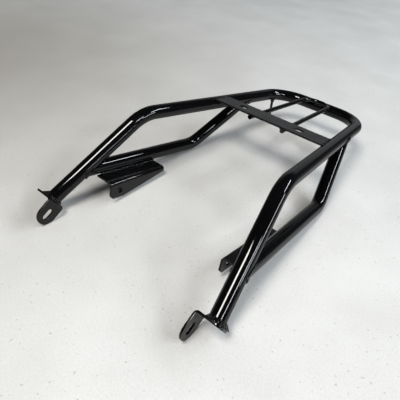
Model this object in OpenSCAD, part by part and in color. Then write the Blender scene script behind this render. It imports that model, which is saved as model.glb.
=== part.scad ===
// Motorcycle luggage rack: one bent tube makes the legs, the rails and the
// closed rear end. A bent stay braces each side, a slotted cross plate and a
// U-shaped rod fill the top, and welded brackets take the bolts.
// X runs across the rack, Y towards the rear and Z up, as it stands on a
// floor. The shapes are drawn with the rails flat and their axes at z = 0,
// the front bends at y = 0, and then set down on the floor.

/* [Tube] */
// Outside diameter of the tube
tube_d = 22.2; // [20:0.1:25]
// Wall thickness of the tube
tube_wall = 2; // [1.2:0.1:3]
// Distance between the tube axes at the front bends
front_w = 251.2; // [230:0.2:280]
// Length from the front bends to the axis of the rear end
rail_len = 382.4; // [350:0.2:420]
// Angle by which each rail closes in towards the rear
rail_toe = 5.05; // [0:0.05:8]
// Bend radius of the two rear corners, on the tube axis
rear_bend_r = 60; // [40:1:75]
// Bend radius where a rail turns into its leg, on the tube axis
front_bend_r = 60; // [40:1:90]
// Angle of the legs below the rails, in side view
leg_drop = 41.1; // [35:0.1:48]
// Angle by which each leg spreads outwards
leg_splay = 9.05; // [4:0.05:12]
// Length of a leg in side view, from its bend to its foot bracket
leg_len = 184.5; // [170:0.5:200]

/* [Stays] */
// Distance from the front bends to where a stay meets its rail
stay_rear_y = 257; // [245:1:275]
// Distance of the knee of a stay from the middle of the rack
knee_x = 134; // [126:0.5:138]
// Distance of the knee of a stay behind the front bends
knee_y = 150.3; // [140:0.1:160]
// Depth of the knee of a stay below the rails
knee_drop = 85.6; // [80:0.1:92]
// Bend radius of the knee, on the tube axis
knee_bend_r = 40; // [30:1:55]
// Distance down the leg, in side view, to where the stay meets it
stay_leg_l = 124.4; // [115:0.1:132]

/* [Plates] */
// Thickness of the cross plate and of the brackets
sheet_t = 3; // [2:0.5:4]
// Inside radius of the folds in the brackets
fold_r = 3; // [1.5:0.5:4]
// Distance from the front bends to the front edge of the cross plate
plate_y = 153.5; // [140:0.5:170]
// Width of the cross plate from front to rear
plate_w = 38; // [30:1:45]
// Length of a slot in the cross plate
plate_slot_len = 16; // [13:0.5:20]
// Width of a slot in the cross plate
plate_slot_w = 11; // [6:0.5:12]
// Distance between the centres of the two slots
plate_slot_gap = 110; // [90:1:130]

/* [Rod] */
// Diameter of the U-shaped rod
rod_d = 8; // [6:0.5:10]
// Distance between the legs of the rod at its front ends
rod_front_w = 64; // [50:1:80]
// Distance between the legs of the rod where they start to bend
rod_rear_w = 52; // [50:1:70]
// Bend radius of the rod, on its axis
rod_bend_r = 24; // [16:1:24]
// How far the rod's ends lie behind the front edge of the plate
rod_inset = 6.5; // [2:0.5:12]
// Height of the closed end of the rod above the rails
rod_rear_z = 11; // [6:0.5:13]

/* [Pegs] */
// Diameter of the two pegs under the rear corners
peg_d = 5; // [4:0.5:7]
// Depth of a peg's lower end below the rails
peg_len = 40; // [25:1:55]
// Depth of a peg's upper end below the axis of the tube
peg_top = 4; // [3:0.5:6]
// Distance of a peg inwards from where the rail and the rear end would cross
peg_in = 6.8; // [4:0.2:10]
// Distance of a peg ahead of the axis of the rear end
peg_ahead = 48.4; // [43:0.2:51]
// Backward lean of a peg from square to the rails
peg_lean = 9.5; // [0:0.5:15]

/* [Foot brackets] */
// Width of a foot bracket
foot_w = 33; // [28:0.5:40]
// Distance from the middle of the rack to the inner face of a foot tab
foot_tab_x = 134.5; // [130:0.5:137]
// Length of the flange that the leg stands on, from that inner face
foot_flange_len = 36.5; // [34:0.5:42]
// Radius of the outer corners of that flange
foot_corner_r = 9; // [4:0.5:12]
// How far the bracket's middle lies ahead of the leg's axis
foot_offset = 8; // [4:0.5:10]
// Depth of the slot's centre below the top of the flange
foot_slot_drop = 21.5; // [18:0.5:26]
// Length of the slot in a foot tab
foot_slot_len = 17; // [10:0.5:18]
// Width of the slot in a foot tab
foot_slot_w = 8.5; // [6.5:0.5:10.5]

/* [Side brackets] */
// Distance from the middle of the rack to the inner face of the flange
side_flange_x = 105.5; // [102:0.5:112]
// Length of the web from that face to its edge under the stay
side_web_w = 34; // [30:0.5:37]
// Distance of the bracket's front edge behind the axis of the leg
side_gap = 22.7; // [16:0.1:32]
// Length of the bracket along the stay
side_len = 116; // [100:1:130]
// Depth of the flange at its front, below the web
side_drop = 28.2; // [24:0.1:34]
// Depth of the flange at its rear, below the web
side_rear_drop = 7.9; // [7:0.1:12]
// Length of the flange's level bottom edge, from the front edge
side_flat = 27.4; // [24:0.1:36]
// Size of the bevel at the flange's front corner
side_bevel = 5.5; // [2:0.5:8]
// Radius of the flange's rear corner
side_corner_r = 4; // [2:0.5:6]
// Distance of the bolt hole behind the front edge
side_hole_y = 18; // [14:0.5:20]
// Depth of the bolt hole below the web
side_hole_drop = 16; // [13:0.5:18]
// Diameter of the bolt hole
side_hole_d = 11; // [7:0.5:13]

/* [Welds] */
// Gap left between pieces that are welded together
root_gap = 0.1; // [0.05:0.05:0.3]
// Height of a weld bead between two tubes
bead_h = 1.7; // [1.2:0.1:3]
// Width of a weld bead between two tubes
bead_w = 5; // [4:0.5:8]
// Size of the weld fillet round a leg on its foot bracket
foot_bead = 5; // [3:0.5:6]
// Radius of the weld bead between a stay and its side bracket
side_bead_r = 2.8; // [2:0.1:3.5]
// Radius of the weld bead along an end of the cross plate
plate_bead_r = 3.4; // [2.5:0.1:4]
// Radius of the weld beads on the rod
rod_bead_r = 2; // [1.5:0.1:2.5]
// Length of a weld bead at a front end of the rod
rod_bead_len = 8; // [5:0.5:12]
// Length of the weld fillet down a peg
peg_bead_len = 10; // [6:0.5:14]

/* [Hidden] */
$fn = 96;
// More than any cut needs to reach
reach = 60;
// A bend's wall is thicker than a straight's by this much on either side, and
// the straights run this far into it
bend_swell = 0.02;
bend_lap = 0.2;

tube_r = tube_d / 2;
cope_r = tube_r + root_gap;
rod_r = rod_d / 2;
peg_r = peg_d / 2;
fold_out = fold_r + sheet_t;

// Paint on every piece
paint = [0.09, 0.09, 0.1];

function unit(v) = v / norm(v);
function mirrored(p) = [-p.x, p.y, p.z];
function turn(a, b, c) = acos(unit(b - a) * unit(c - b));

// What a path's bend takes off the straights at its corner i, the direction
// from that corner into the bend as seen from the straight before it, and the
// roll from there to the next bend
function trim_at(path, bends, i) =
    i == 0 || i == len(path) - 1 ? 0 :
    bends[i - 1] * tan(turn(path[i - 1], path[i], path[i + 1]) / 2);
function square_to(v, dir) = unit(v - dir * (v * dir));
function inward_at(path, i) = square_to(path[i + 1] - path[i], unit(path[i] - path[i - 1]));
function roll_after(path, i) =
    i + 1 == len(path) - 1 ? 0 :
    let (
        dir = unit(path[i + 1] - path[i]),
        from = square_to(path[i - 1] - path[i], dir),
        to = inward_at(path, i + 1)
    )
    atan2(cross(from, to) * dir, from * to);

// Points on the axis of the left half of the tube
function rail_at(y) = [front_w / 2 - y * tan(rail_toe), y, 0];
function leg_at(l) = [
    front_w / 2 + l * tan(leg_splay),
    -l * cos(leg_drop),
    -l * sin(leg_drop),
];
front_bend = rail_at(0);
rear_corner = rail_at(rail_len);
leg_end = leg_at(leg_len + reach);
loop_path = [
    leg_end, front_bend, rear_corner,
    mirrored(rear_corner), mirrored(front_bend), mirrored(leg_end),
];
loop_bends = [front_bend_r, rear_bend_r, rear_bend_r, front_bend_r];
rail_dir = unit(front_bend - rear_corner);
leg_dir = unit(leg_at(1) - front_bend);

// Points on the axis of the left stay
stay_rear = rail_at(stay_rear_y);
knee = [knee_x, knee_y, -knee_drop];
stay_front = leg_at(stay_leg_l);
stay_path = [stay_rear, knee, stay_front];
stay_rise = atan2(stay_front.z - knee.z, knee.y - stay_front.y);
stay_in = unit(knee - stay_front);

// The cross plate's top lies level with the top of the tubes
plate_top = tube_r;
plate_base = plate_top - sheet_t;
plate_end = sqrt(cope_r ^ 2 - plate_base ^ 2) / cos(rail_toe);
plate_back = plate_y + plate_w;

// Axis of the rod, which touches the plate's rear edge from below and the
// rear end of the tube from the front
rod_front_y = plate_y + rod_inset;
rod_rear_y = rail_len - sqrt((tube_r + rod_r + root_gap) ^ 2 - rod_rear_z ^ 2);
rod_seat_z = plate_base - rod_r - root_gap;
rod_slope = (rod_rear_z - rod_seat_z) / (rod_rear_y - plate_back);
rod_front_z = rod_seat_z - rod_slope * (plate_back - rod_front_y);
rod_corner = [rod_rear_w / 2, rod_rear_y, rod_rear_z];
rod_end = [rod_front_w / 2, rod_front_y, rod_front_z];
rod_dir = unit(rod_corner - rod_end);

// Weld bead along the rod's closed end, seated against rod and tube: half
// its length, the direction from the rod's axis to the tube's, and its place
rod_weld_half = rod_rear_w / 2 - rod_bend_r * 0.75;
rod_seat_angle = atan2(-rod_rear_z, rail_len - rod_rear_y);
rod_seat = tube_r + rod_r + root_gap;
rod_bead_out = rod_r + rod_bead_r / 2;
rod_bead_x = (rod_bead_out ^ 2 - (tube_r + rod_bead_r / 2) ^ 2 + rod_seat ^ 2) / (2 * rod_seat);
rod_bead_y = sqrt(rod_bead_out ^ 2 - rod_bead_x ^ 2);

// Centre of a rear corner's bend
corner_trim = rear_bend_r * tan((90 - rail_toe) / 2);
peg_x = rear_corner.x - peg_in;
peg_y = rail_len - peg_ahead;
ring_x = rear_corner.x - corner_trim;
ring_y = rail_len - rear_bend_r;

// Ends of the side bracket, from the knee, and of its weld bead
side_front = -stay_front.y - side_gap;
side_fore = -side_front - knee_y;
side_rear = side_fore + side_len;
bead_in = 2 * sqrt(cope_r * side_bead_r / 2);
function bead_at(y) = knee + stay_in * (y - knee_y) / stay_in.y
    + [-bead_in, 0, side_bead_r / 2 - cope_r];
bead_fore = bead_at(2 * side_bead_r - side_front);
bead_rear = bead_at(side_len - side_front - side_bead_r);

// How far a leg's weld reaches past the foot bracket's edge
foot_overhang = tube_r - (foot_w / 2 - foot_offset) + 1.5;

// Depth, down the leg in side view, of the foot slot's centre
foot_slot_l = leg_len + foot_slot_drop;

// The rack stands on its foot tabs and on the knees of its stays: these are
// the centres of the two rounds in side view, and the floor touches both
tab_round = [
    -foot_slot_l * cos(leg_drop) - foot_offset * sin(leg_drop),
    -foot_slot_l * sin(leg_drop) + foot_offset * cos(leg_drop),
];
knee_half = turn(stay_rear, knee, stay_front) / 2;
knee_inward = unit(unit(stay_rear - knee) + unit(stay_front - knee));
knee_centre = knee + knee_inward * knee_bend_r / cos(knee_half);
knee_round = [knee_centre.y, knee_centre.z];
stand_span = knee_round - tab_round;
stand_r_step = knee_bend_r + tube_r - foot_w / 2;
pitch = atan2(stand_span.y, stand_span.x) - asin(stand_r_step / norm(stand_span));
function floor_y(p) = p.x * cos(pitch) + p.y * sin(pitch);
function floor_z(p) = p.y * cos(pitch) - p.x * sin(pitch);
lift = foot_w / 2 - floor_z(tab_round);
front_edge = floor_y(tab_round) - foot_w / 2;
rear_edge = floor_y([rail_len, 0]) + tube_r;

// Sets the rack down on the floor, with the origin under its middle
module on_floor()
    translate([0, -(front_edge + rear_edge) / 2, lift])
        rotate([-pitch, 0, 0])
            children();

// Moves a shape to p, with its X axis along u and its Y axis towards v
module place(p, u, v) {
    ex = unit(u);
    ez = unit(cross(ex, v));
    ey = cross(ez, ex);
    multmatrix([
        [ex.x, ey.x, ez.x, p.x],
        [ex.y, ey.y, ez.y, p.y],
        [ex.z, ey.z, ez.z, p.z],
    ])
        children();
}

// Stands a shape's Z axis along the line from a to b
module along(a, b) {
    d = b - a;
    translate(a)
        rotate([0, acos(d.z / norm(d)), atan2(d.y, d.x)])
            children();
}

module bar(a, b, r)
    along(a, b)
        cylinder(r = r, h = norm(b - a));

// Section of a tube, or of a solid rod when it has no bore
module round_section(r, bore)
    difference() {
        circle(r);
        if (bore > 0)
            circle(bore);
    }

// Tube or rod that follows a path and bends round its corners. Each straight
// and each bend is drawn on the end of the one before it.
module bent(path, bends, r, bore = 0)
    place(path[0], inward_at(path, 1), cross(path[1] - path[0], inward_at(path, 1)))
        stretch(path, bends, r, bore, 1);

// The path's straight up to corner i, along Z, and all that follows it
module stretch(path, bends, r, bore, i) {
    last = len(path) - 1;
    length = norm(path[i] - path[i - 1]) - trim_at(path, bends, i - 1) - trim_at(path, bends, i);
    lap_before = i == 1 ? 0 : bend_lap;
    lap_after = i == last ? 0 : bend_lap;
    translate([0, 0, -lap_before])
        linear_extrude(lap_before + length + lap_after)
            round_section(r, bore);
    if (i < last) {
        angle = turn(path[i - 1], path[i], path[i + 1]);
        translate([bends[i - 1], 0, length]) {
            bend(bends[i - 1], angle, r + bend_swell, bore > 0 ? bore - bend_swell : 0);
            rotate([0, angle, 0])
                translate([-bends[i - 1], 0, 0])
                    rotate([0, 0, roll_after(path, i)])
                        stretch(path, bends, r, bore, i + 1);
        }
    }
}

// Part of a ring round the Y axis: it starts at -X and rises along Z
module bend(bend_r, angle, r, bore) {
    size = bend_r + 2 * r;
    intersection() {
        rotate([90, 0, 0])
            rotate_extrude()
                translate([bend_r, 0])
                    round_section(r, bore);
        translate([-size, -size, 0])
            cube([2 * size, 2 * size, size]);
        rotate([0, angle, 0])
            translate([-size, -size, -size])
                cube([2 * size, 2 * size, size]);
    }
}

// Slot of a length and a width, along X
module slot(length, width) {
    square([length - width, width], center = true);
    for (s = [-1, 1])
        translate([s * (length - width) / 2, 0])
            circle(d = width);
}

// Axes of the leg's end in side view: Z up the leg, Y to its underside
module leg_axes()
    rotate([leg_drop - 90, 0, 0])
        children();

// Axes of a stay's lower straight in side view, from its knee
module stay_axes()
    translate([0, knee.y, knee.z])
        rotate([-stay_rise, 0, 0])
            children();

// Everything beyond the plane of the foot bracket's top
module below_leg()
    leg_axes()
        translate([0, 0, -leg_len - reach])
            cube([2 * front_w, 4 * reach, 2 * reach], center = true);

// Weld bead round a coped stay, where its axis leaves the tube's axis at p:
// dir points along the tube on the side of the sharp corner
module saddle_weld(p, dir, stay_dir) {
    toe = unit(dir + stay_dir);
    heel = unit(stay_dir - dir);
    difference() {
        intersection() {
            bar(p - dir * reach, p + dir * reach, tube_r + bead_h);
            place(p, toe, heel)
                linear_extrude(2 * reach, center = true)
                    polygon([
                        [-bead_w / 2, -bead_w / 2], [reach, -bead_w / 2],
                        [reach, bead_w / 2], [bead_w / 2, bead_w / 2],
                        [bead_w / 2, reach], [-bead_w / 2, reach],
                    ]);
        }
        bar(p - dir * 2 * reach, p + dir * 2 * reach, cope_r);
        bar(p, p + stay_dir * 2 * reach, tube_r + root_gap / 2);
    }
}

module main_loop()
    color(paint)
        difference() {
            bent(loop_path, loop_bends, tube_r, tube_r - tube_wall);
            below_leg();
        }

module stay()
    color(paint)
        difference() {
            bent(stay_path, [knee_bend_r], tube_r, tube_r - tube_wall);
            bar(stay_rear - rail_dir * reach, stay_rear + rail_dir * reach, cope_r);
            bar(stay_front - leg_dir * reach, stay_front + leg_dir * reach, cope_r);
        }

module stay_rear_weld()
    color(paint)
        saddle_weld(stay_rear, rail_dir, unit(knee - stay_rear));

module stay_front_weld()
    color(paint)
        saddle_weld(stay_front, -leg_dir, stay_in);

// Outline of the cross plate, with its ends along the rails
module plate_outline() {
    front = rail_at(plate_y).x - plate_end;
    back = rail_at(plate_back).x - plate_end;
    polygon([
        [-front, plate_y], [front, plate_y],
        [back, plate_back], [-back, plate_back],
    ]);
}

module cross_plate()
    color(paint)
        translate([0, 0, plate_base])
            linear_extrude(sheet_t)
                difference() {
                    plate_outline();
                    for (s = [-1, 1])
                        translate([s * plate_slot_gap / 2, plate_y + plate_w / 2])
                            slot(plate_slot_len, plate_slot_w);
                }

// Weld bead in the groove between the plate's end and the rail
module plate_weld() {
    a = rail_at(plate_y);
    b = rail_at(plate_back);
    seat = plate_end * cos(rail_toe);
    color(paint)
        along(a, b)
            linear_extrude(norm(b - a))
                rotate(90)
                    difference() {
                        translate([seat - sheet_t / 3, plate_base + sheet_t / 5])
                            circle(plate_bead_r);
                        circle(cope_r);
                        translate([seat - root_gap, 0])
                            square(reach);
                        translate([-reach, plate_base - reach])
                            square([2 * reach, reach]);
                    }
}

module u_rod()
    color(paint)
        bent(
            [rod_end, rod_corner, mirrored(rod_corner), mirrored(rod_end)],
            [rod_bend_r, rod_bend_r], rod_r
        );

// Weld bead between the rod's closed end and the tube's rear end
module rear_rod_weld()
    color(paint)
        translate([-rod_weld_half, 0, 0])
            rotate([90, 0, 90])
                linear_extrude(2 * rod_weld_half)
                    difference() {
                        translate([rod_rear_y, rod_rear_z])
                            rotate(rod_seat_angle)
                                translate([rod_bead_x, -rod_bead_y])
                                    circle(rod_bead_r);
                        translate([rod_rear_y, rod_rear_z])
                            circle(rod_r + root_gap);
                        translate([rail_len, 0])
                            circle(cope_r);
                    }

// Weld bead on the inner side of a front end of the rod, under the plate
module rod_weld()
    color(paint)
        difference() {
            along(rod_end, rod_corner)
                linear_extrude(rod_bead_len)
                    rotate(90)
                        difference() {
                            translate([rod_r, rod_r - rod_bead_r / 3])
                                circle(rod_bead_r);
                            circle(rod_r + root_gap);
                        }
            translate([0, plate_y, plate_base - root_gap])
                cube(reach);
        }

// Peg under a rear corner, cut to the tube's curve at its top
module peg()
    color(paint)
        difference() {
            peg_axes()
                cylinder(r = peg_r, h = peg_len - peg_top);
            corner_ring();
        }

// Fillet of weld that flares up the peg to the tube
module peg_weld()
    color(paint)
        difference() {
            peg_axes()
                cylinder(r1 = 2.2 * peg_r, r2 = peg_r, h = peg_bead_len);
            peg_axes()
                cylinder(r = peg_r + root_gap, h = peg_len);
            corner_ring();
        }

// Down the peg from its upper end
module peg_axes()
    translate([peg_x, peg_y, -peg_top])
        rotate([180 + peg_lean, 0, 0])
            children();

// The round of the rear corner, as a whole ring
module corner_ring()
    translate([ring_x, ring_y, 0])
        rotate_extrude()
            translate([rear_bend_r, 0])
                circle(cope_r);

// Folded sheet: a web along X and a flange down from its inner end, drawn in
// side view and given its width along Y
module folded_section(web, flange) {
    translate([fold_out, -sheet_t])
        square([web - fold_out, sheet_t]);
    translate([0, -flange])
        square([sheet_t, flange - fold_out]);
    translate([fold_out, -fold_out])
        intersection() {
            difference() {
                circle(fold_out);
                circle(fold_r);
            }
            translate([-fold_out, 0])
                square(fold_out);
        }
}

// Foot bracket: the leg stands on its flange, and its tab turns down at the
// inner side and ends in a round with a bolt slot
module foot_bracket() {
    drop = foot_slot_drop + foot_w / 2;
    color(paint)
        leg_axes()
            translate([foot_tab_x, -foot_offset, -leg_len])
                difference() {
                    intersection() {
                        rotate([90, 0, 0])
                            linear_extrude(foot_w, center = true)
                                folded_section(foot_flange_len, drop);
                        union() {
                            flange_round();
                            tab_round_end();
                        }
                    }
                    translate([-reach, 0, -foot_slot_drop])
                        rotate([90, 0, 90])
                            linear_extrude(2 * reach)
                                rotate(90)
                                    slot(foot_slot_len, foot_slot_w);
                }
}

// Upper part of a foot bracket, with the flange's outer corners rounded
module flange_round()
    translate([0, 0, -fold_out])
        linear_extrude(fold_out)
            union() {
                translate([0, -foot_w / 2])
                    square([foot_flange_len - foot_corner_r, foot_w]);
                translate([0, foot_corner_r - foot_w / 2])
                    square([foot_flange_len, foot_w - 2 * foot_corner_r]);
                for (s = [-1, 1])
                    translate([
                        foot_flange_len - foot_corner_r,
                        s * (foot_w / 2 - foot_corner_r)
                    ])
                        circle(foot_corner_r);
            }

// Lower part of a foot bracket, round below the slot
module tab_round_end()
    rotate([90, 0, 90])
        linear_extrude(foot_flange_len)
            union() {
                translate([-foot_w / 2, -foot_slot_drop])
                    square([foot_w, foot_slot_drop - fold_out]);
                translate([0, -foot_slot_drop])
                    circle(foot_w / 2);
            }

// Fillet of weld between the leg and its foot bracket
module foot_weld()
    color(paint)
        difference() {
            intersection() {
                along(leg_at(leg_len + foot_bead), front_bend)
                    cylinder(r1 = tube_r + 2 * foot_bead, r2 = tube_r, h = 2.2 * foot_bead);
                leg_axes()
                    translate([foot_tab_x, -foot_offset - foot_w / 2, -leg_len - reach])
                        cube([foot_flange_len, foot_w + foot_overhang, 2 * reach]);
            }
            bar(front_bend, leg_end, cope_r);
            below_leg();
        }

// Side bracket under a stay: its web is welded to the stay's underside and
// its flange takes a bolt
module side_bracket()
    color(paint)
        stay_axes()
            translate([side_flange_x, 0, -cope_r])
                difference() {
                    intersection() {
                        translate([0, side_rear, 0])
                            rotate([90, 0, 0])
                                linear_extrude(side_len)
                                    folded_section(side_web_w, side_drop);
                        rotate([90, 0, 90])
                            linear_extrude(side_web_w)
                                side_outline();
                    }
                    translate([-reach, side_fore + side_hole_y, -side_hole_drop])
                        rotate([0, 90, 0])
                            cylinder(d = side_hole_d, h = 2 * reach);
                }

// Outline of a side bracket in side view
module side_outline()
    difference() {
        polygon([
            [side_fore, 0],
            [side_fore, side_bevel - side_drop],
            [side_fore + side_bevel, -side_drop],
            [side_fore + side_flat, -side_drop],
            [side_rear, -side_rear_drop],
            [side_rear, 0],
        ]);
        translate([side_rear - side_corner_r, -side_rear_drop])
            difference() {
                square([side_corner_r, side_corner_r]);
                translate([0, side_corner_r])
                    circle(side_corner_r);
            }
    }

// Weld bead in the crevice between a stay and its side bracket
module bracket_weld()
    color(paint)
        difference() {
            bar(bead_fore, bead_rear, side_bead_r);
            bar(stay_front, knee, cope_r);
            stay_axes()
                translate([0, -2 * side_len, -cope_r - reach])
                    cube([front_w, 2 * side_len, reach]);
        }

on_floor() main_loop();
on_floor() stay();  // left_stay
on_floor() mirror([1, 0, 0]) stay();  // right_stay
on_floor() cross_plate();
on_floor() u_rod();
on_floor() foot_bracket();  // left_foot_bracket
on_floor() mirror([1, 0, 0]) foot_bracket();  // right_foot_bracket
on_floor() side_bracket();  // left_side_bracket
on_floor() mirror([1, 0, 0]) side_bracket();  // right_side_bracket
on_floor() peg();  // left_peg
on_floor() mirror([1, 0, 0]) peg();  // right_peg
on_floor() stay_rear_weld();  // left_stay_rear_weld
on_floor() mirror([1, 0, 0]) stay_rear_weld();  // right_stay_rear_weld
on_floor() stay_front_weld();  // left_stay_front_weld
on_floor() mirror([1, 0, 0]) stay_front_weld();  // right_stay_front_weld
on_floor() foot_weld();  // left_foot_weld
on_floor() mirror([1, 0, 0]) foot_weld();  // right_foot_weld
on_floor() bracket_weld();  // left_bracket_weld
on_floor() mirror([1, 0, 0]) bracket_weld();  // right_bracket_weld
on_floor() plate_weld();  // left_plate_weld
on_floor() mirror([1, 0, 0]) plate_weld();  // right_plate_weld
on_floor() rod_weld();  // left_rod_weld
on_floor() mirror([1, 0, 0]) rod_weld();  // right_rod_weld
on_floor() rear_rod_weld();
on_floor() peg_weld();  // left_peg_weld
on_floor() mirror([1, 0, 0]) peg_weld();  // right_peg_weld
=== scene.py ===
from math import atan2, pi, radians, sin

import bmesh
import bpy
from mathutils import Matrix, Vector, noise


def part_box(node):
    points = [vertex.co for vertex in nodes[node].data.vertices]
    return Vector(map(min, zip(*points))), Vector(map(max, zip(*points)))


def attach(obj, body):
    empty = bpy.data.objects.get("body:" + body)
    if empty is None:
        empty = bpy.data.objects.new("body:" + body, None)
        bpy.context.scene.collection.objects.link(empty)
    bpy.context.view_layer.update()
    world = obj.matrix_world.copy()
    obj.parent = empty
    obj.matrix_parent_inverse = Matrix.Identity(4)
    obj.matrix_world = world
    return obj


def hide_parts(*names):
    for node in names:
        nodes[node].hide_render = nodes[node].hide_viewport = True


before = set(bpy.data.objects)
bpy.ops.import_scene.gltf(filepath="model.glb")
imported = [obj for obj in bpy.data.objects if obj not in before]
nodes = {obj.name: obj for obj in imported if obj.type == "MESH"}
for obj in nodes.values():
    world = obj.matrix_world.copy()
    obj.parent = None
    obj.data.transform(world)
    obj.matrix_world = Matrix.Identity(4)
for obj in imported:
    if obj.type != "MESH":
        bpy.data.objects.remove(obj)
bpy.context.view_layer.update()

# The rack's own layout, in metres
# Points are given with the rails level, then turned and lifted as the rack stands.
STAND = Matrix.Translation((0, -0.0966595, 0.118955)) @ Matrix.Rotation(radians(-9.07578), 4, "X")
FRONT_BEND = Vector((0.1256, 0, 0))
LEG_END = Vector((0.15462, -0.1373, -0.11978))
STAY_REAR = Vector((0.10289, 0.257, 0))
KNEE = Vector((0.134, 0.1503, -0.0856))
STAY_FRONT = Vector((0.14541, -0.09374, -0.08178))
RAIL_DIR = Vector((-0.08803, 0.99612, 0))
PEG_DIR = Vector((0, 0.165, -0.986))
REARWARD = Vector((0, 1, 0))
ACROSS = Vector((1, 0, 0))
SIDES = {"left": 1, "right": -1}

# Paint on the edges of cut and folded sheet
EDGE_ROUND = 0.0005
EDGE_SEGMENTS = 3
SHARP_EDGE = radians(50)
LEVEL_WITHIN = radians(0.5)
LARGEST_FOLD_FACE = 0.00012

# Ripples of the weld beads
BEAD_MESH = 0.00045
RIPPLE_MEAN, RIPPLE_SWING = 0.85, 0.6
RIPPLE_NOISE = 260
CRESCENT_BOW = 12


def standing(point, side):
    """A point given with the rails level, on the side asked for, as the rack stands."""
    return STAND @ Vector((point.x * side, point.y, point.z))


def turned(direction, side):
    """A direction given with the rails level, on the side asked for, as the rack stands."""
    return (STAND.to_3x3() @ Vector((direction.x * side, direction.y, direction.z))).normalized()


def middle(node):
    low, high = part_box(node)
    return (low + high) / 2


class Value:
    """A socket that takes Python arithmetic, each step of it a Math node."""

    def __init__(self, finish, socket):
        self.finish, self.socket = finish, socket

    def math(self, operation, a, b):
        return self.finish.node("ShaderNodeMath", {"operation": operation}, {0: a, 1: b})

    def __add__(self, other):
        return self.math("ADD", self, other)

    def __sub__(self, other):
        return self.math("SUBTRACT", self, other)

    def __rsub__(self, other):
        return self.math("SUBTRACT", other, self)

    def __mul__(self, other):
        return self.math("MULTIPLY", self, other)

    __radd__, __rmul__ = __add__, __mul__


class Finish:
    """A tree of nodes: node() adds one, from its kind, its settings and what its sockets take."""

    def __init__(self, tree):
        self.tree = tree

    def node(self, kind, settings=None, inputs=None, output=0):
        made = self.tree.nodes.new(kind)
        for name, setting in (settings or {}).items():
            setattr(made, name, setting)
        for name, value in (inputs or {}).items():
            self.feed(made.inputs[name], value)
        return Value(self, made.outputs[output])

    def feed(self, socket, value):
        """Links a value to a socket, or sets the socket where it is a plain number or colour."""
        if isinstance(value, Value):
            self.tree.links.new(value.socket, socket)
        else:
            socket.default_value = value

    def drive(self, surface, **sockets):
        """Feeds the sockets of a surface, which are named with underscores for spaces."""
        for name, value in sockets.items():
            self.feed(surface.inputs[name.replace("_", " ")], value)

    def places(self, kind="Object"):
        return self.node("ShaderNodeTexCoord", output=kind)

    def ray(self, kind):
        """1 for rays of one kind, such as Camera or Glossy, and 0 for the others."""
        return self.node("ShaderNodeLightPath", output=f"Is {kind} Ray")

    def noise(self, places, scale, detail=2.0, roughness=0.5):
        sockets = {"Vector": places, "Scale": scale, "Detail": detail, "Roughness": roughness}
        return self.node("ShaderNodeTexNoise", None, sockets, "Fac")

    def step(self, value, low, high, to_low=0.0, to_high=1.0):
        """value, taken smoothly from low..high to to_low..to_high."""
        sockets = {"Value": value, 1: low, 2: high, 3: to_low, 4: to_high}
        return self.node("ShaderNodeMapRange", {"interpolation_type": "SMOOTHSTEP"}, sockets)

    def away(self, places, centre):
        """How far places are from a centre."""
        settings = {"operation": "DISTANCE"}
        return self.node("ShaderNodeVectorMath", settings, {0: places, 1: centre}, "Value")

    def blend(self, factor, first, second):
        sockets = {0: factor, 6: first, 7: second}
        return self.node("ShaderNodeMix", {"data_type": "RGBA"}, sockets, 2)

    def bumped(self, height, distance, strength):
        sockets = {"Height": height, "Distance": distance, "Strength": strength}
        return self.node("ShaderNodeBump", None, sockets)


def material(name):
    """A new material, its Finish and its Principled node."""
    made = bpy.data.materials.new(name)
    made.use_nodes = True
    return made, Finish(made.node_tree), made.node_tree.nodes["Principled BSDF"]


def black_paint(name, dark, pale, gloss, dull, peel, peel_scale):
    """Black paint over steel: slightly uneven in gloss, with a fine orange peel and settled dust.

    Its colour lies between dark and pale and its roughness between gloss and dull. The orange
    peel is peel metres deep, and finer as peel_scale grows.
    """
    made, finish, surface = material(name)
    places = finish.places()
    cloud = finish.noise(places, scale=14, detail=4)
    smear = finish.noise(places, scale=55, detail=3, roughness=0.6)
    grains = finish.noise(places, scale=900, detail=2, roughness=0.7)
    skin = finish.noise(places, scale=peel_scale)
    dust = finish.step(grains, 0.66, 0.78)
    colour = finish.blend(finish.step(cloud, 0.3, 0.7), (*dark, 1), (*pale, 1))
    shine = finish.step(smear * 0.6 + cloud * 0.4, 0.35, 0.65, gloss, dull)
    finish.drive(
        surface,
        Base_Color=finish.blend(dust * 0.35, colour, (0.09, 0.09, 0.088, 1)),
        Roughness=shine + dust * 0.12,
        Normal=finish.bumped(skin, distance=peel, strength=0.5),
        Specular_IOR_Level=0.5,
        IOR=1.5,
    )
    return made


GLOSS = black_paint(
    "gloss_black", dark=(0.001, 0.001, 0.0012), pale=(0.0018, 0.0018, 0.0022),
    gloss=0.025, dull=0.055, peel=0.000004, peel_scale=300,
)
SATIN = black_paint(
    "satin_black", dark=(0.003, 0.003, 0.0033), pale=(0.0055, 0.0055, 0.006),
    gloss=0.22, dull=0.32, peel=0.00002, peel_scale=700,
)
SHEET = black_paint(
    "sheet_black", dark=(0.0015, 0.0015, 0.0017), pale=(0.003, 0.003, 0.0034),
    gloss=0.09, dull=0.15, peel=0.000006, peel_scale=400,
)
BEAD = black_paint(
    "bead_black", dark=(0.0015, 0.0015, 0.0017), pale=(0.004, 0.004, 0.0045),
    gloss=0.06, dull=0.13, peel=0.0018, peel_scale=380,
)
PAINTS = {"weld": BEAD, "plate": SATIN, "bracket": SHEET}

for name, piece in nodes.items():
    piece.data.materials.clear()
    piece.data.materials.append(PAINTS.get(name.rsplit("_", 1)[-1], GLOSS))


def shown(name, data):
    """A new object in the scene."""
    made = bpy.data.objects.new(name, data)
    bpy.context.scene.collection.objects.link(made)
    return made


def as_data(mesh, name):
    """What a bmesh holds, as mesh data."""
    data = bpy.data.meshes.new(name)
    mesh.to_mesh(data)
    mesh.free()
    return data


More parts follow.
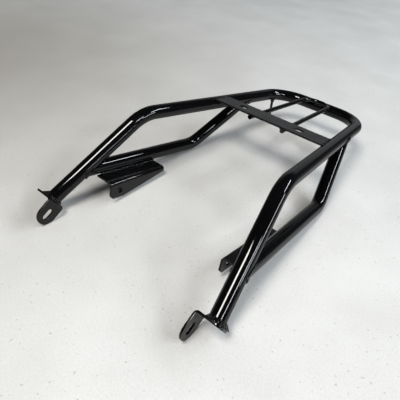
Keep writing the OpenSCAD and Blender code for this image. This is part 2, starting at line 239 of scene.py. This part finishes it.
def merged(node):
    """A copy of a node's mesh with its loose triangles joined up."""
    mesh = bmesh.new()
    mesh.from_mesh(nodes[node].data)
    bmesh.ops.remove_doubles(mesh, verts=mesh.verts, dist=1e-6)
    return mesh


def in_place_of(node, name, data, finish):
    """Shows a worked copy of a node's mesh, which takes the node's place."""
    data.materials.append(finish)
    piece = shown(name, data)
    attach(piece, "root")
    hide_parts(node)


def eased(node, finish):
    """A cut or folded sheet whose sharp edges are rounded, as paint leaves them."""
    mesh = merged(node)
    bmesh.ops.dissolve_limit(
        mesh, angle_limit=LEVEL_WITHIN, verts=mesh.verts, edges=mesh.edges,
        use_dissolve_boundaries=False,
    )
    sharp = [e for e in mesh.edges if len(e.link_faces) == 2 and e.calc_face_angle() > SHARP_EDGE]
    rounded = bmesh.ops.bevel(
        mesh, geom=sharp, offset=EDGE_ROUND, offset_type="OFFSET", segments=EDGE_SEGMENTS,
        profile=0.5, affect="EDGES", clamp_overlap=True, material=-1,
    )
    edge_faces = set(rounded["faces"])
    for face in mesh.faces:
        face.smooth = face in edge_faces or face.calc_area() < LARGEST_FOLD_FACE
    name = node + "_eased"
    in_place_of(node, name, as_data(mesh, name), finish)


def finely_meshed(node):
    """A node's mesh made anew of small, even faces."""
    coarse = shown(node + "_coarse", as_data(merged(node), node + "_coarse"))
    remesh = coarse.modifiers.new("fine_mesh", "REMESH")
    remesh.mode, remesh.voxel_size = "VOXEL", BEAD_MESH
    evaluated = coarse.evaluated_get(bpy.context.evaluated_depsgraph_get())
    fine = bpy.data.meshes.new_from_object(evaluated)
    bpy.data.objects.remove(coarse)
    return fine


def rippled(node, depth, ripple_at):
    """A weld bead with grooves cut into it between the ripples that ripple_at counts along it."""
    fine = finely_meshed(node)
    normals = [vertex.normal.copy() for vertex in fine.vertices]
    for vertex, normal in zip(fine.vertices, normals):
        groove = abs(sin(pi * ripple_at(vertex.co))) - 1
        uneven = RIPPLE_MEAN + RIPPLE_SWING * noise.noise(vertex.co * RIPPLE_NOISE)
        vertex.co += normal * depth * groove * uneven
    for face in fine.polygons:
        face.use_smooth = True
    in_place_of(node, node + "_ripples", fine, BEAD)


def round_ripples(centre, axis, ripples):
    """Counts ripples round an axis through centre."""
    across = axis.orthogonal().normalized()
    up = axis.cross(across).normalized()

    def count(point):
        arm = point - centre
        return atan2(arm.dot(up), arm.dot(across)) / (2 * pi) * ripples

    return count


def straight_ripples(centre, axis, pitch):
    """Counts ripples along an axis, a pitch apart and each one bowed like a crescent."""

    def count(point):
        arm = point - centre
        run = arm.dot(axis)
        aside = (arm - axis * run).length
        return (run + aside * aside * CRESCENT_BOW) / pitch

    return count


eased("cross_plate", SATIN)
for word in SIDES:
    eased(word + "_foot_bracket", SHEET)
    eased(word + "_side_bracket", SHEET)

for word, side in SIDES.items():
    leg = turned(LEG_END - FRONT_BEND, side)
    rear_stay = turned(KNEE - STAY_REAR, side)
    lower_stay = turned(STAY_FRONT - KNEE, side)
    rail = turned(RAIL_DIR, side)
    rearward = turned(REARWARD, side)
    peg = turned(PEG_DIR, side)
    for weld, corner, axis, ripples, depth in (
        ("_stay_rear_weld", STAY_REAR, rear_stay, 26, 0.0004),
        ("_stay_front_weld", STAY_FRONT, lower_stay, 26, 0.0004),
        ("_foot_weld", LEG_END, leg, 22, 0.00055),
    ):
        rippled(word + weld, depth, round_ripples(standing(corner, side), axis, ripples))
    for weld, axis, pitch, depth in (
        ("_bracket_weld", lower_stay, 0.0042, 0.0009),
        ("_plate_weld", rail, 0.0034, 0.0003),
        ("_rod_weld", rearward, 0.0028, 0.00025),
    ):
        rippled(word + weld, depth, straight_ripples(middle(word + weld), axis, pitch))
    peg_weld = word + "_peg_weld"
    rippled(peg_weld, 0.0002, round_ripples(middle(peg_weld), peg, 12))
rippled("rear_rod_weld", 0.00025, straight_ripples(middle("rear_rod_weld"), ACROSS, 0.003))


def floor():
    """A pale floor with a faint mottle and a few specks, and painted shade that makes it darker
    and browner to the rack's right.
    """
    made, finish, surface = material("floor")
    places = finish.places()
    mottle = finish.noise(places, scale=6, detail=5, roughness=0.6)
    grain = finish.noise(places, scale=380, detail=3, roughness=0.7)
    specks = finish.step(finish.noise(places, scale=210, detail=1, roughness=0.3), 0.72, 0.745)
    # Painted shade: a soft dark, brownish patch of floor to the rack's right, standing in for
    # less light falling there
    painted_shade = 1 - finish.step(finish.away(places, (-0.85, -0.1, 0)), 0, 1.05)
    from_rack = finish.away(places, (0, 0, 0))
    tone = finish.step(mottle * 0.5 + grain * 0.5, 0.35, 0.65)
    colour = finish.blend(tone, (0.525, 0.523, 0.515, 1), (0.605, 0.605, 0.598, 1))
    colour = finish.blend(specks * 0.55, colour, (0.3, 0.29, 0.27, 1))
    colour = finish.blend(painted_shade * 0.85, colour, (0.27, 0.255, 0.225, 1))
    # The paint's reflections show the floor dimmer, and dimmer still away from the rack
    dimmed = finish.ray("Glossy") * (0.4 + finish.step(from_rack, 0.3, 0.65) * 0.5)
    # Far off the floor is as pale to the camera as the room behind it
    horizon = finish.ray("Camera") * finish.step(from_rack, 1.7, 5)
    finish.drive(
        surface,
        Base_Color=finish.blend(dimmed, colour, (0, 0, 0, 1)),
        Roughness=finish.step(mottle, 0.3, 0.7, 0.55, 0.7),
        Normal=finish.bumped(grain, distance=0.0002, strength=0.2),
        Specular_IOR_Level=0.3,
        Emission_Strength=1,
        Emission_Color=finish.blend(horizon, (0, 0, 0, 1), (0.66, 0.67, 0.67, 1)),
    )
    mesh = bmesh.new()
    bmesh.ops.create_grid(mesh, x_segments=2, y_segments=2, size=9)
    data = as_data(mesh, "floor")
    data.materials.append(made)
    shown("floor", data)


def room():
    """Pale to the camera and dim in reflections, a little paler low down and most at the back."""
    world = bpy.data.worlds.new("room")
    world.use_nodes = True
    bpy.context.scene.world = world
    finish = Finish(world.node_tree)
    ways = finish.places("Generated")
    aside, behind, upward = (
        finish.node("ShaderNodeSeparateXYZ", None, {"Vector": ways}, axis) for axis in "XYZ"
    )
    low = 1 - finish.step(upward, 0.2, 0.62)
    wall = finish.step(behind, 0.3, 0.85) * (1 - finish.step(aside, 0.02, 0.16))
    glow = 0.02 + low * 0.03 + low * wall * 0.24
    to_camera = finish.ray("Camera")
    finish.drive(
        world.node_tree.nodes["Background"],
        Color=(0.95, 0.975, 1, 1),
        Strength=to_camera * 0.85 + (1 - to_camera) * glow,
    )


def lamp(name, place, aim, size, power, colour, seen=True):
    """A soft lamp, size = (level side, other side); seen is whether gloss reflects it."""
    data = bpy.data.lights.new(name, "AREA")
    data.shape, data.size, data.size_y = "RECTANGLE", *size
    data.energy, data.color = power, colour
    made = shown(name, data)
    made.location = place
    made.rotation_mode = "QUATERNION"
    made.rotation_quaternion = (Vector(aim) - Vector(place)).to_track_quat("-Z", "Y")
    made.visible_glossy = seen


floor()
room()
WARM, COOL = (1, 0.97, 0.925), (0.9, 0.955, 1)
lamp("ceiling_lamp", (0, -1.45, 2.4), (0, -1.35, 0), (0.8, 0.95), 58, WARM)
lamp("ceiling_fill", (0.05, -1.35, 2.4), (0.05, -1.2, 0), (1.4, 1.2), 22, WARM, seen=False)
lamp("rear_windows", (2.25, 2.2, 2.4), (0.1, 0.1, 0), (1.9, 0.2), 44, COOL)
lamp("side_windows", (3.6, -0.3, 2.4), (0, -0.2, 0), (1.3, 0.2), 32, COOL)
lamp("low_window", (2.9, 0.97, 0.98), (0.12, -0.15, 0.1), (1.4, 0.17), 19, COOL)
lamp("low_panel", (2.9, -0.5, 0.14), (0, -0.1, 0.1), (0.7, 0.1), 4, COOL)
lamp("back_fill", (0.6, 2.9, 2.2), (0.2, 1.2, 0), (3, 0.4), 42, COOL, seen=False)
lamp("side_fill", (1.7, 0.5, 1.5), (0.2, 0.5, 0), (1, 1), 18, COOL, seen=False)

camera = shown("camera", bpy.data.cameras.new("camera"))
camera.location = (0.2941, -0.49319, 0.41076)
camera.rotation_euler = (radians(51.58975), radians(-4.60029), radians(40.30872))
camera.data.sensor_width = 36
camera.data.lens = 36.729
bpy.context.scene.camera = camera
bpy.context.scene.view_settings.view_transform = "Standard"
